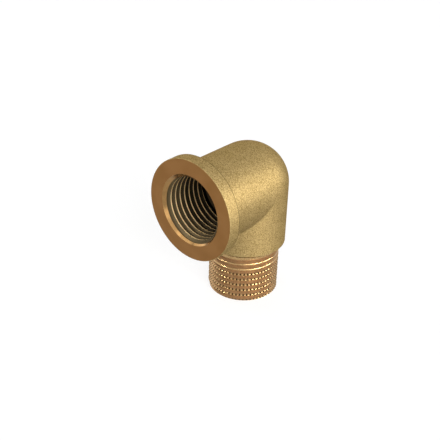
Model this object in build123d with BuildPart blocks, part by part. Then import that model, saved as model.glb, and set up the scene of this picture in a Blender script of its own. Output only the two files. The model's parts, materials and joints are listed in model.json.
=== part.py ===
"""Brass pipe elbow for a half-inch parallel pipe thread, female mouth and male foot.

One drop-forged and machined piece. It stands on its male end: the origin is the centre of that end
face, +Z runs up the male axis and the tapped mouth looks along -Y. Units are millimetres.
The threads are drawn as their envelopes, the male at its crests and the female at its crests too.
"""

import os
from math import radians, tan

from build123d import *

# Pipe thread, the same on both ends
thread_major = 20.955
thread_height = 1.162

# Forged outside
body_wall = 1.62  # metal outside the thread's major diameter
collar_step = 3.0  # how far the collar stands out of the body
collar_width = 3.9
mouth_reach = 24.3  # male axis to the mouth face
shoulder_reach = 18.6  # female axis to the shoulder above the male thread

# Machined ends
male_length = 16.5  # shoulder to the male end face
male_lead_chamfer = 0.6
spigot_wall = 1.8  # metal between the male thread's root and the waterway
bore_edge_chamfer = 0.4
socket_depth = 16.0  # mouth face to the end of the tapped wall
countersink_lip = 0.1  # how far the countersink reaches past the major diameter
drill_point_angle = 118.0

# Broken outer edges, and the forging's radius in its inner corners
edge_break = 0.3
corner_radius = 0.5

# Sizes that follow from the ones above
thread_minor = thread_major - 2 * thread_height
body_radius = thread_major / 2 + body_wall
collar_radius = body_radius + collar_step
male_radius = thread_major / 2
socket_radius = thread_minor / 2
waterway_radius = socket_radius - spigot_wall
countersink_radius = male_radius + countersink_lip
countersink_depth = countersink_radius - socket_radius
drill_point_depth = (socket_radius - waterway_radius) / tan(radians(drill_point_angle / 2))
axis_height = male_length + shoulder_reach

# Where the two axes cross, and the planes that the features start from
crossing = (0, 0, axis_height)
foot_plane = Plane.XY
shoulder_plane = Plane.XY.offset(male_length)
mouth_plane = Plane(origin=(0, -mouth_reach, axis_height), x_dir=(1, 0, 0), z_dir=(0, -1, 0))
female_axis = Axis(crossing, (0, -1, 0))
side_plane = Plane(origin=crossing, x_dir=(0, 1, 0), z_dir=(1, 0, 0))

with BuildPart() as elbow:
    # Two equal round legs that meet in a mitre, closed outside by a ball
    with BuildSketch(shoulder_plane):
        Circle(body_radius)
    extrude(amount=shoulder_reach)
    with BuildSketch(mouth_plane):
        Circle(body_radius)
    extrude(amount=-mouth_reach)
    with Locations(crossing):
        Sphere(body_radius)

    # The mitre shows as a crease on the inside of the bend and dies out at the sides
    fillet(elbow.edges().filter_by(GeomType.ELLIPSE), radius=corner_radius)
    chamfer(elbow.faces().sort_by(Axis.Z).first.edges(), length=edge_break)

    # Collar round the mouth
    with BuildSketch(mouth_plane):
        Circle(collar_radius)
    extrude(amount=-collar_width)
    chamfer(elbow.edges().filter_by(GeomType.CIRCLE).group_by(SortBy.RADIUS)[-1], length=edge_break)
    collar_back = elbow.faces().filter_by(Axis.Y).sort_by(Axis.Y).last
    fillet(collar_back.edges().sort_by(SortBy.RADIUS).first, radius=corner_radius)

    # Spigot for the male thread
    with BuildSketch(foot_plane):
        Circle(male_radius)
    extrude(amount=male_length)
    chamfer(elbow.faces().sort_by(Axis.Z).first.edges(), length=male_lead_chamfer)

    # Waterway drilled from the foot and turned towards the mouth by a ball end
    with BuildSketch(foot_plane):
        Circle(waterway_radius)
    extrude(amount=axis_height, mode=Mode.SUBTRACT)
    with BuildSketch(mouth_plane):
        Circle(waterway_radius)
    extrude(amount=-mouth_reach, mode=Mode.SUBTRACT)
    with Locations(crossing):
        Sphere(waterway_radius, mode=Mode.SUBTRACT)
    foot_face = elbow.faces().sort_by(Axis.Z).first
    chamfer(foot_face.edges().sort_by(SortBy.RADIUS).first, length=bore_edge_chamfer)

    # Tapped socket: countersink, thread wall and the drill point it ends in
    with BuildSketch(side_plane):
        with BuildLine():
            Polyline(
                (-mouth_reach, 0),
                (-mouth_reach, countersink_radius),
                (-mouth_reach + countersink_depth, socket_radius),
                (-mouth_reach + socket_depth, socket_radius),
                (-mouth_reach + socket_depth + drill_point_depth, waterway_radius),
                (-mouth_reach + socket_depth + drill_point_depth, 0),
                close=True,
            )
        make_face()
    revolve(axis=female_axis, mode=Mode.SUBTRACT)

elbow.part.label = "elbow_body"

os.makedirs("parts", exist_ok=True)
export_step(elbow.part, "parts/elbow_body.step")
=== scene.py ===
import json
from math import cos, pi, radians, sin, tan

import bmesh
import bpy
from mathutils import Matrix, Vector


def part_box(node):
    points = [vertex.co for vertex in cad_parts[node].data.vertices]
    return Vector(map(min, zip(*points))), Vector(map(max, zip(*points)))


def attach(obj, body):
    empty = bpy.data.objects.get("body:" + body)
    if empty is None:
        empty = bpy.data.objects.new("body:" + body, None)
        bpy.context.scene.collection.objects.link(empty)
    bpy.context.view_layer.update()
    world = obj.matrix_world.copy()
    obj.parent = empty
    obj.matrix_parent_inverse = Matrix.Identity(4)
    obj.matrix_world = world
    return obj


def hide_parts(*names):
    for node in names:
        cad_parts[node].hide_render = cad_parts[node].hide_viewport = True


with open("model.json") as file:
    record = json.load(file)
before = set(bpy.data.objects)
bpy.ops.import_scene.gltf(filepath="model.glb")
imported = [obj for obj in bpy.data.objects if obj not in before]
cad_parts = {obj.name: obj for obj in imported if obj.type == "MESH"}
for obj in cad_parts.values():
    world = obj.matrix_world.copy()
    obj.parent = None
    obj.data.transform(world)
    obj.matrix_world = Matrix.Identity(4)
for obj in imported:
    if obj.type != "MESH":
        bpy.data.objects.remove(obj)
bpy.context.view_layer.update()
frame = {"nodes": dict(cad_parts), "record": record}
print("frame loaded, nodes:", ", ".join(sorted(frame["nodes"])))

mm = 0.001
mounts = {m["name"]: m for m in frame["record"]["mounts"]}
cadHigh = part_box("elbow_body")[1]

# finishes, in the order of the elbow's material slots
finishes = ("cast", "edge", "turned", "crest", "flank", "notch", "sink", "land", "groove", "water")
finishSlot = {name: slot for slot, name in enumerate(finishes)}

tolerance = {
    "cut": 1e-7,  # at the mitre's plane
    "sew": 1e-6,  # corners nearer than this are one
    "sliver": 2e-7,  # shorter edges are dissolved
}

elbow = {
    "steps": 120,  # facets round each leg
    "axisHeight": mounts["female_thread"]["pos_m"][2],
    "mouthReach": -mounts["female_face"]["pos_m"][1],
    "bodyRadius": cadHigh.y,
    "collarRadius": cadHigh.x,
    "collarWidth": 3.9 * mm,
    "shoulderReach": 18.6 * mm,
    "maleRadius": mounts["male_thread"]["dims"]["r_mm"] * mm,
    "maleLead": 0.6 * mm,
    "neckDepth": 0.8 * mm,  # plain neck between shoulder and thread
    "neckWidth": 0.65 * mm,
    "socketRadius": mounts["female_thread"]["dims"]["r_mm"] * mm,
    "socketDepth": 16.0 * mm,
    "threadDepth": 14.8 * mm,  # the last stretch is left as drilled
    "countersinkRadius": 10.578 * mm,
    "waterwayRadius": 7.5155 * mm,
    "drillPoint": radians(118),
    "boreEdge": 0.4 * mm,
    "edgeBreak": 0.3 * mm,
    "faceEdge": 0.15 * mm,  # round the mouth face
    "collarEdge": 0.3 * mm,  # behind the collar
    "cornerRadius": 0.5 * mm,
    "arcPieces": 4,
    "ballPieces": 14,  # facets along the ball, up to the mitre
    "ballSpan": radians(50),  # a little past the mitre
    "creaseAngle": radians(8),  # where the mitre is shallower it needs no rounding
    "sharpAngle": radians(28),
}

thread = {
    "pitch": 1.814 * mm,
    "flank": radians(27.5),  # half of the thread's angle
    "rootWidth": 0.28 * mm,
    "roundSpan": radians(44),  # how much of the crest's edge is rounded
    "lip": 0.01 * mm,
    "stand": 0.3 * mm,  # how far a cutter stands clear of the metal
}

maleThread = {
    "crestWidth": 0.36 * mm,
    "crestRound": 0.15 * mm,
    "start": -2.14 * mm,  # below the end face
    "turns": 9,
    "fade": 0.35,  # turns over which the groove runs out
    "finish": ("flank", "crest"),  # of the flanks and of the rounded crest edges
}

femaleThread = {
    "crestWidth": 0.44 * mm,
    "crestRound": 0.12 * mm,
    "start": -1.35 * mm,  # in front of the mouth face
    "turns": 9,
    "fade": 0.3,
    "finish": ("groove", "groove"),
}

notches = {
    "count": 60,
    "reach": 10.3 * mm,  # how far they run up from the end face
    "width": 0.55 * mm,
    "depth": 0.5 * mm,
    "stand": 0.3 * mm,
}


def arc(centre, radius, start, end, pieces):
    turn = (end - start) / pieces
    return [
        (centre[0] + radius * cos(start + turn * i), centre[1] + radius * sin(start + turn * i))
        for i in range(pieces + 1)
    ]


def lathe(bm, profile, axis, finish):
    # profile points are (radius, place along the axis), counted from where the two axes cross
    centre = Vector((0, 0, elbow["axisHeight"]))
    side = Vector((1, 0, 0))
    verts = [bm.verts.new(centre + side * radius + axis * along) for radius, along in profile]
    edges = [bm.edges.new(pair) for pair in zip(verts, verts[1:])]
    old = set(bm.faces)
    bmesh.ops.spin(
        bm, geom=verts + edges, cent=centre, axis=axis, angle=2 * pi, steps=elbow["steps"],
        use_merge=True, dvec=(0, 0, 0),
    )
    for face in bm.faces:
        if face not in old:
            face.material_index = finishSlot[finish]


def mouthLeg():
    e = elbow
    face, back = -e["mouthReach"], e["collarWidth"] - e["mouthReach"]
    rim, body, corner, edge, front = (
        e[key] for key in ("collarRadius", "bodyRadius", "cornerRadius", "collarEdge", "faceEdge")
    )
    backEdge = arc((rim - edge, back - edge), edge, pi / 2, 0, e["arcPieces"])
    faceEdge = arc((rim - front, face + front), front, 0, -pi / 2, e["arcPieces"])
    forged = arc((0, 0), body, e["ballSpan"], 0, e["ballPieces"])
    forged += arc((body + corner, back + corner), corner, pi, 1.5 * pi, e["arcPieces"]) + [backEdge[0]]
    ring = [faceEdge[-1], (e["waterwayRadius"], face)]
    bore = [ring[-1]] + arc((0, 0), e["waterwayRadius"], 0, e["ballSpan"], e["ballPieces"])
    rimBand = [backEdge[-1]] + faceEdge
    # the collar's rounded back edge takes the cast brass painted darker, as painted shade
    return (forged, "cast"), (backEdge, "edge"), (rimBand, "cast"), (ring, "turned"), (bore, "water")


def footLeg():
    e = elbow
    shoulder, end = -e["shoulderReach"], -e["axisHeight"]
    body, edge, male, water = e["bodyRadius"], e["edgeBreak"], e["maleRadius"], e["waterwayRadius"]
    neck, neckEnd = male - e["neckDepth"], shoulder - e["neckWidth"]
    forged = arc((0, 0), body, e["ballSpan"], 0, e["ballPieces"])
    forged += arc((body - edge, shoulder + edge), edge, 0, -pi / 2, e["arcPieces"])
    step = [(body - edge, shoulder), (neck, shoulder)]
    spigot = [
        (neck, shoulder),
        (neck, neckEnd),
        (male, neckEnd - e["neckDepth"] * tan(thread["flank"])),
        (male, end + e["maleLead"]),
        (male - e["maleLead"], end),
    ]
    ring = [spigot[-1], (water + e["boreEdge"], end)]
    bore = [ring[-1], (water, end + e["boreEdge"])] + arc((0, 0), water, 0, e["ballSpan"], e["ballPieces"])
    return (forged, "cast"), (step, "turned"), (spigot, "crest"), (ring, "turned"), (bore, "water")


def meshOf(name, bm):
    print(name + ":", len(bm.faces), "faces, open edges", sum(not e.is_manifold for e in bm.edges))
    mesh = bpy.data.meshes.new(name)
    bm.to_mesh(mesh)
    bm.free()
    return mesh


def elbowBlank():
    # each leg is turned whole, then cut at the mitre, and the two halves are sewn together there
    whole = bmesh.new()
    for leg, axis, keep in (
        (mouthLeg, Vector((0, 1, 0)), Vector((0, -1, 1))),
        (footLeg, Vector((0, 0, 1)), Vector((0, 1, -1))),
    ):
        half = bmesh.new()
        for profile, finish in leg():
            lathe(half, profile, axis, finish)
        bmesh.ops.bisect_plane(
            half, geom=half.verts[:] + half.edges[:] + half.faces[:], dist=tolerance["cut"],
            plane_co=(0, 0, elbow["axisHeight"]), plane_no=keep, clear_inner=True,
        )
        halfMesh = meshOf(leg.__name__, half)
        whole.from_mesh(halfMesh)
        bpy.data.meshes.remove(halfMesh)
    bmesh.ops.remove_doubles(whole, verts=whole.verts, dist=tolerance["sew"])
    bmesh.ops.recalc_face_normals(whole, faces=whole.faces)
    return whole


def softenCrease(bm):
    # the forging's radius along the inside of the bend, where the legs still meet at an angle
    e = elbow
    midWall = (e["bodyRadius"] + e["waterwayRadius"]) / 2
    crease = []
    for edge in bm.edges:
        onMitre = all(abs(v.co.y - (v.co.z - e["axisHeight"])) < tolerance["sew"] for v in edge.verts)
        middle = (edge.verts[0].co + edge.verts[1].co) / 2
        outside = Vector((middle.x, middle.y)).length > midWall
        if onMitre and outside and middle.y < 0 and edge.calc_face_angle(0) > e["creaseAngle"]:
            crease.append(edge)
    bmesh.ops.bevel(
        bm, geom=crease, offset=e["cornerRadius"], affect="EDGES", segments=e["arcPieces"], profile=0.5,
        material=-1,
    )
    print("crease:", len(crease), "edges rounded")


def socketCutter():
    # countersink, thread wall and drill point, open towards the front
    e = elbow
    face, stand = -e["mouthReach"], thread["stand"]
    drillDepth = (e["socketRadius"] - e["waterwayRadius"]) / tan(e["drillPoint"] / 2)
    bottom = face + e["socketDepth"] + drillDepth
    sink = [
        (0, face - stand),
        (e["countersinkRadius"] + stand, face - stand),
        (e["socketRadius"], face + e["countersinkRadius"] - e["socketRadius"]),
    ]
    wall = [sink[-1], (e["socketRadius"], face + e["threadDepth"])]
    point = [
        wall[-1],
        (e["socketRadius"], face + e["socketDepth"]),
        (e["waterwayRadius"], bottom),
        (0, bottom),
    ]
    bm = bmesh.new()
    for profile, finish in ((sink, "sink"), (wall, "land"), (point, "water")):
        lathe(bm, profile, Vector((0, 1, 0)), finish)
    bmesh.ops.remove_doubles(bm, verts=bm.verts, dist=tolerance["sew"])
    bmesh.ops.recalc_face_normals(bm, faces=bm.faces)
    return meshOf("socket", bm)


def grooveSection(cut):
    # half of the groove, as (half width, depth under the crests), from its root out past the rounded edge
    t = thread
    half, root, rounding = (t["pitch"] - cut["crestWidth"]) / 2, t["rootWidth"] / 2, cut["crestRound"]
    depth = (half - root) / tan(t["flank"])
    tangent = rounding * tan((pi / 2 - t["flank"]) / 2)
    middle = half - tangent * sin(t["flank"]) + rounding * cos(t["flank"])
    section = [(root, depth)]
    for share in (0, 0.5, 1):
        lean = t["flank"] + share * t["roundSpan"]
        section.append((middle - rounding * cos(lean), rounding * (1 - sin(lean))))
    width, last = section[-1]
    width += (last + t["lip"]) * tan(lean)
    return section + [(width, -t["lip"]), (width, -t["stand"])]


def threadCutter(name, cut, crestRadius, side, axis, centre):
    # side is 1 where the groove goes outwards from its crests, and -1 where it goes inwards
    half = grooveSection(cut)
    section = [(-width, depth) for width, depth in reversed(half)] + half
    pitch, steps = thread["pitch"], elbow["steps"]
    spin = {"cent": centre, "axis": axis, "dvec": axis * (pitch / steps)}

    def wire(bm, along):
        verts = [
            bm.verts.new(centre + Vector((crestRadius + side * depth, 0, 0)) + axis * (along + width))
            for width, depth in section
        ]
        return verts + [bm.edges.new(pair) for pair in zip(verts, verts[1:] + verts[:1])]

    # the groove fades out where the tool is drawn back
    bm = bmesh.new()
    end = wire(bm, cut["start"] + cut["turns"] * pitch)
    fadeSteps = round(cut["fade"] * steps)
    lift = (half[0][1] + 2 * thread["lip"]) / fadeSteps
    for step in range(fadeSteps):
        end = bmesh.ops.spin(bm, geom=end, angle=2 * pi / steps, steps=1, **spin)["geom_last"]
        for vert in end:
            if isinstance(vert, bmesh.types.BMVert):
                spoke = vert.co - centre
                spoke -= axis * spoke.dot(axis)
                vert.co -= spoke.normalized() * side * lift
    fade = meshOf(name + "Fade", bm)

    # one full turn, repeated along the axis
    bm = bmesh.new()
    bmesh.ops.spin(bm, geom=wire(bm, cut["start"]), angle=2 * pi, steps=steps, **spin)
    spin["dvec"] = axis * pitch
    bmesh.ops.spin(
        bm, geom=bm.verts[:] + bm.edges[:] + bm.faces[:], angle=2 * pi * (cut["turns"] - 1),
        steps=cut["turns"] - 1, use_duplicate=True, **spin,
    )
    bm.from_mesh(fade)
    bpy.data.meshes.remove(fade)
    bmesh.ops.remove_doubles(bm, verts=bm.verts, dist=tolerance["sew"])
    bmesh.ops.holes_fill(bm, edges=bm.edges, sides=0)
    bmesh.ops.recalc_face_normals(bm, faces=bm.faces)
    flank, edge = (finishSlot[finish] for finish in cut["finish"])
    edgeDepth = half[1][1] + thread["lip"]
    for face in bm.faces:
        spokes = [v.co - centre for v in face.verts]
        depths = [side * ((s - axis * s.dot(axis)).length - crestRadius) for s in spokes]
        face.material_index = edge if max(depths) < edgeDepth else flank
    return meshOf(name, bm)


def notchCutter():
    n, male = notches, elbow["maleRadius"]
    bm = bmesh.new()
    outer = male + n["stand"]
    spread = n["width"] / 2 * (n["depth"] + n["stand"]) / n["depth"]
    corners = [(male - n["depth"], 0), (outer, -spread), (outer, spread)]
    low = bm.faces.new([bm.verts.new((x, y, -n["stand"])) for x, y in corners])
    prism = bmesh.ops.extrude_face_region(bm, geom=[low])
    top = [v for v in prism["geom"] if isinstance(v, bmesh.types.BMVert)]
    bmesh.ops.translate(bm, verts=top, vec=(0, 0, n["reach"] + n["stand"]))
    bmesh.ops.recalc_face_normals(bm, faces=bm.faces)
    bmesh.ops.spin(
        bm, geom=bm.verts[:] + bm.edges[:] + bm.faces[:], cent=(0, 0, 0), axis=(0, 0, 1), dvec=(0, 0, 0),
        angle=2 * pi * (1 - 1 / n["count"]), steps=n["count"] - 1, use_duplicate=True,
    )
    for face in bm.faces:
        face.material_index = finishSlot["notch"]
    return meshOf("notches", bm)


def cutAway(piece, mesh):
    tool = bpy.data.objects.new(mesh.name, mesh)
    bpy.context.scene.collection.objects.link(tool)
    boolean = piece.modifiers.new(mesh.name, "BOOLEAN")
    boolean.operation = "DIFFERENCE"
    boolean.solver = "MANIFOLD"
    boolean.object = tool
    bpy.context.view_layer.update()
    cutMesh = bpy.data.meshes.new_from_object(piece.evaluated_get(bpy.context.evaluated_depsgraph_get()))
    piece.modifiers.clear()
    old, piece.data = piece.data, cutMesh
    bpy.data.meshes.remove(old)
    bpy.data.objects.remove(tool)
    print("cut", mesh.name, "to", len(cutMesh.polygons), "faces")


def smoothFaces(piece):
    bm = bmesh.new()
    bm.from_mesh(piece.data)
    bmesh.ops.dissolve_degenerate(bm, edges=bm.edges, dist=tolerance["sliver"])
    for face in bm.faces:
        face.smooth = True
    for edge in bm.edges:
        edge.smooth = edge.calc_face_angle(pi) < elbow["sharpAngle"]
    mesh = meshOf("elbow", bm)
    old, piece.data = piece.data, mesh
    bpy.data.meshes.remove(old)
    shading = piece.modifiers.new("shading", "WEIGHTED_NORMAL")
    shading.keep_sharp = True


blank = elbowBlank()
softenCrease(blank)
elbowPiece = bpy.data.objects.new("elbow", meshOf("blank", blank))
bpy.context.scene.collection.objects.link(elbowPiece)
mouthCentre = Vector((0, -elbow["mouthReach"], elbow["axisHeight"]))
cutAway(elbowPiece, socketCutter())
cutAway(elbowPiece, threadCutter(
    "maleThread", maleThread, elbow["maleRadius"], -1, Vector((0, 0, 1)), Vector(),
))
cutAway(elbowPiece, threadCutter(
    "femaleThread", femaleThread, elbow["socketRadius"], 1, Vector((0, 1, 0)), mouthCentre,
))
cutAway(elbowPiece, notchCutter())
smoothFaces(elbowPiece)


class Socket:
    def __init__(self, finish, link):
        self.finish, self.link = finish, link

    def __add__(self, other):
        return self.finish.maths("ADD", self, other)

    def __radd__(self, other):
        return self.finish.maths("ADD", other, self)

    def __sub__(self, other):
        return self.finish.maths("SUBTRACT", self, other)

    def __rsub__(self, other):
        return self.finish.maths("SUBTRACT", other, self)

    def __mul__(self, other):
        return self.finish.maths("MULTIPLY", self, other)

    def __rmul__(self, other):
        return self.finish.maths("MULTIPLY", other, self)

    def __pow__(self, other):
        return self.finish.maths("POWER", self, other)


class Finish:
    def __init__(self, name):
        self.material = bpy.data.materials.new(name)
        self.material.use_nodes = True
        self.tree = self.material.node_tree
        self.tree.nodes.clear()

    def node(self, kind, settings, sockets, output=0):
        made = self.tree.nodes.new("ShaderNode" + kind)
        for key, value in settings.items():
            setattr(made, key, value)
        for key, value in sockets.items():
            if isinstance(value, Socket):
                self.tree.links.new(value.link, made.inputs[key])
            else:
                made.inputs[key].default_value = value
        return Socket(self, made.outputs[output]) if made.outputs else None

    def maths(self, operation, first, second):
        return self.node("Math", {"operation": operation}, {0: first, 1: second})

    def sine(self, value):
        return self.node("Math", {"operation": "SINE"}, {0: value})

    def place(self):
        return self.node("TexCoord", {}, {}, "Object")

    def axes(self):
        place = self.place()
        return [self.node("SeparateXYZ", {}, {0: place}, axis) for axis in "XYZ"]

    def noise(self, size, detail=2.0, roughness=0.5):
        # about even from 0 to 1, with features of the given size
        sockets = {"Vector": self.place(), "Scale": 1 / size, "Detail": detail, "Roughness": roughness}
        return self.node("TexNoise", {}, sockets, "Fac")

    def grains(self, size):
        # a chance value from 0 to 1 for each grain
        sockets = {"Vector": self.place(), "Scale": 1 / size}
        return self.node("SeparateColor", {}, {0: self.node("TexVoronoi", {}, sockets, "Color")})

    def spread(self, value, low, high, toLow=0.0, toHigh=1.0):
        sockets = {0: value, 1: low, 2: high, 3: toLow, 4: toHigh}
        return self.node("MapRange", {}, sockets)

    def blend(self, share, first, second):
        return self.node("Mix", {"data_type": "RGBA"}, {0: share, 6: (*first, 1), 7: (*second, 1)}, 2)

    def bump(self, height, distance):
        return self.node("Bump", {}, {"Height": height, "Distance": distance, "Strength": 1.0})

    def surface(self, sockets):
        shader = self.node("BsdfPrincipled", {}, sockets)
        self.node("OutputMaterial", {}, {"Surface": shader})
        return self.material


# where a fine and a coarse noise do most of their changing
fineSpan, coarseSpan = (0.3, 0.7), (0.35, 0.65)

cast = {
    "dark": (0.165, 0.110, 0.035),
    "light": (0.468, 0.340, 0.148),
    "edge": (0.10, 0.07, 0.03),  # reflection at a grazing angle
    "metallic": 0.25,
    "roughness": (0.50, 0.60),
    "grain": 0.17 * mm,
    "grainDetail": (2.5, 0.6),
    "mottle": 3.5 * mm,
    "mottleDetail": 1.0,
    "grainShare": 0.6,  # single grains and mottle, beside the noise
    "mottleShare": 0.15,
    "toneSpan": (0.15, 0.85),
    "grainHeight": 0.055 * mm,
    "edgeShade": 0.25,  # painted shade: the cast brass is painted darker along the collar's back edge
}


def castBrass(name, shade):
    f = Finish(name)
    grain = f.noise(cast["grain"], *cast["grainDetail"])
    mottle = f.noise(cast["mottle"], cast["mottleDetail"])
    grains, patches = cast["grainShare"], cast["mottleShare"]
    level = grain + grains * f.grains(cast["grain"]) + patches * mottle - (grains + patches) / 2
    share = f.spread(level, *cast["toneSpan"])
    dark, light = ([c * shade for c in cast[tone]] for tone in ("dark", "light"))
    return f.surface({
        "Base Color": f.blend(share, dark, light),
        "Metallic": cast["metallic"],
        "Roughness": f.spread(grain, *fineSpan, *cast["roughness"]),
        "Specular IOR Level": 0.0,
        "Specular Tint": (*cast["edge"], 1),
        "Normal": f.bump(grain, cast["grainHeight"]),
    })


turned = {
    "dark": (0.216, 0.101, 0.0285),
    "light": (0.237, 0.1145, 0.0352),
    "roughness": (0.30, 0.36),
    "ringPitch": 0.16 * mm,
    "ringHeight": 0.0006 * mm,
    "mottle": 5.0 * mm,
}


def turnedBrass():
    # the tool leaves fine rings about the mouth's axis, which also cross the foot's own faces
    f = Finish("turned brass")
    x, y, z = f.axes()
    z = z - elbow["axisHeight"]
    rings = f.sine((x * x + z * z) ** 0.5 * (2 * pi / turned["ringPitch"]))
    mottle = f.spread(f.noise(turned["mottle"]), *coarseSpan)
    return f.surface({
        "Base Color": f.blend(mottle, turned["dark"], turned["light"]),
        "Metallic": 1.0,
        "Roughness": f.spread(mottle, 0, 1, *turned["roughness"]),
        "Normal": f.bump(rings, turned["ringHeight"]),
    })


# two tones of each cut surface, how metallic it is and how rough
cutBrass = {
    "crest": ((0.36, 0.235, 0.102), (0.45, 0.298, 0.132), 1.0, 0.27),
    "flank": ((0.36, 0.222, 0.110), (0.43, 0.270, 0.135), 0.5, 0.30),
    # the notches are painted dark, as painted shade inside them
    "notch": ((0.11, 0.070, 0.030), (0.17, 0.108, 0.046), 1.0, 0.34),
    "sink": ((0.26, 0.148, 0.056), (0.30, 0.172, 0.064), 1.0, 0.18),
    "land": ((0.87, 0.600, 0.290), (0.98, 0.710, 0.360), 0.2, 0.34),
    # the female grooves are painted dark, as painted shade in the grooves
    "groove": ((0.018, 0.013, 0.007), (0.105, 0.077, 0.039), 0.3, 0.40),
    # the waterway and drill point are painted near black, as painted shade inside the bore
    "water": ((0.010, 0.007, 0.004), (0.018, 0.012, 0.006), 1.0, 0.45),
}
cutMarks = {
    "mottle": 1.2 * mm,
    "scratch": 0.25 * mm,
    "scratchDetail": 3.0,
    "scratchHeight": 0.0015 * mm,
    "roughnessChange": (-0.04, 0.06),
    "grooveReach": (2 * mm, 9 * mm),  # over this depth the female grooves go from light to dark, painted shade deepening inside the bore
}


def machinedBrass(name):
    dark, light, metallic, roughness = cutBrass[name]
    f = Finish(name + " brass")
    # painted shade: the groove's colour darkens with depth into the bore
    if name == "groove":
        depth = f.axes()[1] + elbow["mouthReach"]
        tone = f.spread(depth, *cutMarks["grooveReach"], 1, 0)
    else:
        tone = f.spread(f.noise(cutMarks["mottle"]), *coarseSpan)
    scratch = f.noise(cutMarks["scratch"], cutMarks["scratchDetail"])
    smooth, rough = (roughness + change for change in cutMarks["roughnessChange"])
    return f.surface({
        "Base Color": f.blend(tone, dark, light),
        "Metallic": metallic,
        "Roughness": f.spread(scratch, *fineSpan, smooth, rough),
        "Specular IOR Level": 0.0,
        "Normal": f.bump(scratch, cutMarks["scratchHeight"]),
    })


made = {
    "cast": castBrass("cast brass", 1.0),
    # a darker copy of the cast brass, painted shade for the collar's back edge
    "edge": castBrass("cast edge", cast["edgeShade"]),
    "turned": turnedBrass(),
}
for name in finishes:
    elbowPiece.data.materials.append(made[name] if name in made else machinedBrass(name))
print("finishes:", ", ".join(m.name for m in elbowPiece.data.materials))

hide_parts("elbow_body")
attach(elbowPiece, "root")

studio = {
    "floorRadius": 3.0,
    "floorBend": 0.5,  # where the floor turns up into the backdrop
    "floorBendPieces": 12,
    "backdropHeight": 0.9,
    "floorSteps": 64,
    "floorDrop": 0.02 * mm,
    "floorColour": (0.24, 0.24, 0.24),  # how much light the floor sends back up
    "floorWhite": (0.80, 0.80, 0.80),  # added to what the camera and reflections see of it
    "world": 0.2,
    "reach": 1.5,  # lamps to elbow
    "aimHeight": 30 * mm,
    # azimuth from the front of the mouth towards +X, elevation, diameter, brightness
    "lamps": {
        "front": (22, 24, 2.0, 1.5),
        "key": (64, 28, 1.0, 6.7),
        "left": (-84, 26, 1.2, 2.0),
        "back": (170, 35, 1.2, 0.8),
        "fill": (-140, 6, 1.4, 3.2),
    },
    # reflectors that show in the metal's gloss only
    "cards": {
        "rightCard": (91, 14, 1.0, 11.0),
        "keyCard": (64, 28, 1.0, 13.0),
        "lowCard": (80, 8, 0.8, 30.0),
        "backCard": (122, 20, 0.6, 38.0),
        "leftCard": (-84, 26, 1.2, 3.0),
        "mouthCard": (-30, 46, 1.34, 1.7),
        "sparkCard": (-27, 27, 0.22, 130.0),
    },
}


def addFloor():
    # a round floor whose rim turns up into a backdrop on every side
    bm = bmesh.new()
    radius, bend, steps = studio["floorRadius"], studio["floorBend"], studio["floorSteps"]
    profile = [(0, 0)] + arc((radius - bend, bend), bend, -pi / 2, 0, studio["floorBendPieces"])
    profile.append((radius, studio["backdropHeight"]))
    verts = [bm.verts.new((x, 0, z - studio["floorDrop"])) for x, z in profile]
    edges = [bm.edges.new(pair) for pair in zip(verts, verts[1:])]
    bmesh.ops.spin(
        bm, geom=verts + edges, cent=(0, 0, 0), axis=(0, 0, 1), dvec=(0, 0, 0), angle=2 * pi, steps=steps,
        use_merge=True,
    )
    bmesh.ops.remove_doubles(bm, verts=bm.verts, dist=tolerance["sew"])
    for face in bm.faces:
        face.smooth = True
    floor = bpy.data.objects.new("floor", meshOf("floor", bm))
    f = Finish("pale floor")
    seen = 0
    for ray in ("Is Camera Ray", "Is Glossy Ray", "Is Transmission Ray"):
        seen = f.node("LightPath", {}, {}, ray) + seen
    floor.data.materials.append(f.surface({
        "Base Color": (*studio["floorColour"], 1),
        "Roughness": 1.0,
        "Specular IOR Level": 0.0,
        "Emission Color": f.blend(seen, (0, 0, 0), studio["floorWhite"]),
        "Emission Strength": 1.0,
    }))
    bpy.context.scene.collection.objects.link(floor)


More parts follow.
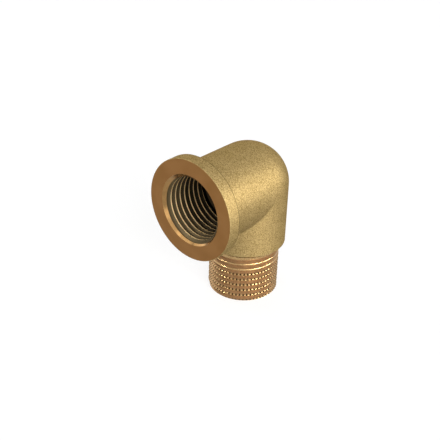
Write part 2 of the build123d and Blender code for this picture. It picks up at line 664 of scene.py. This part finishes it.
def addLamp(name, azimuth, elevation, size, brightness):
    lamp = bpy.data.lights.new(name, "AREA")
    lamp.shape = "DISK"
    lamp.size = size
    lamp.energy = brightness * pi * (pi * (size / 2) ** 2)  # what a disc of this brightness gives off
    azimuth, elevation = radians(azimuth), radians(elevation)
    away = Vector((sin(azimuth) * cos(elevation), -cos(azimuth) * cos(elevation), sin(elevation)))
    stand = bpy.data.objects.new(name, lamp)
    stand.location = Vector((0, 0, studio["aimHeight"])) + away * studio["reach"]
    stand.rotation_euler = away.to_track_quat("Z", "Y").to_euler()
    bpy.context.scene.collection.objects.link(stand)
    return stand


def addWorld():
    world = bpy.data.worlds.new("studio")
    world.use_nodes = True
    background = world.node_tree.nodes["Background"]
    background.inputs["Color"].default_value = (1, 1, 1, 1)
    background.inputs["Strength"].default_value = studio["world"]
    bpy.context.scene.world = world


addFloor()
for name, place in studio["lamps"].items():
    addLamp(name, *place)
for name, place in studio["cards"].items():
    addLamp(name, *place).visible_diffuse = False
addWorld()
bpy.context.scene.view_settings.view_transform = "Standard"
print("studio:", len(studio["lamps"]), "lamps,", len(studio["cards"]), "cards")

shot = {
    "azimuth": radians(41.338),
    "elevation": radians(30.011),
    "roll": radians(1.979),
    "distance": 279.146 * mm,
    "aside": -7.548 * mm,  # what the camera aims at, in its own view plane, from where the axes cross
    "above": -11.43 * mm,
    "focal": 960.848 / 440,  # focal length over the picture's width
    "sensor": 36.0,
    "nearest": 10 * mm,  # what lies nearer to the camera isn't drawn
}


def addCamera():
    azimuth, elevation = shot["azimuth"], shot["elevation"]
    right = Vector((cos(azimuth), sin(azimuth), 0))
    back = Vector((sin(azimuth) * cos(elevation), -cos(azimuth) * cos(elevation), sin(elevation)))
    above = back.cross(right)
    aim = Vector((0, 0, elbow["axisHeight"])) + right * shot["aside"] + above * shot["above"]
    lens = bpy.data.cameras.new("camera")
    lens.sensor_width, lens.lens = shot["sensor"], shot["focal"] * shot["sensor"]
    lens.clip_start = shot["nearest"]
    camera = bpy.data.objects.new("camera", lens)
    turnedRight = right * cos(shot["roll"]) + above * sin(shot["roll"])
    turnedAbove = above * cos(shot["roll"]) - right * sin(shot["roll"])
    camera.matrix_world = Matrix.Translation(aim + back * shot["distance"]) @ Matrix(
        (turnedRight, turnedAbove, back)
    ).transposed().to_4x4()
    bpy.context.scene.collection.objects.link(camera)
    bpy.context.scene.camera = camera


addCamera()
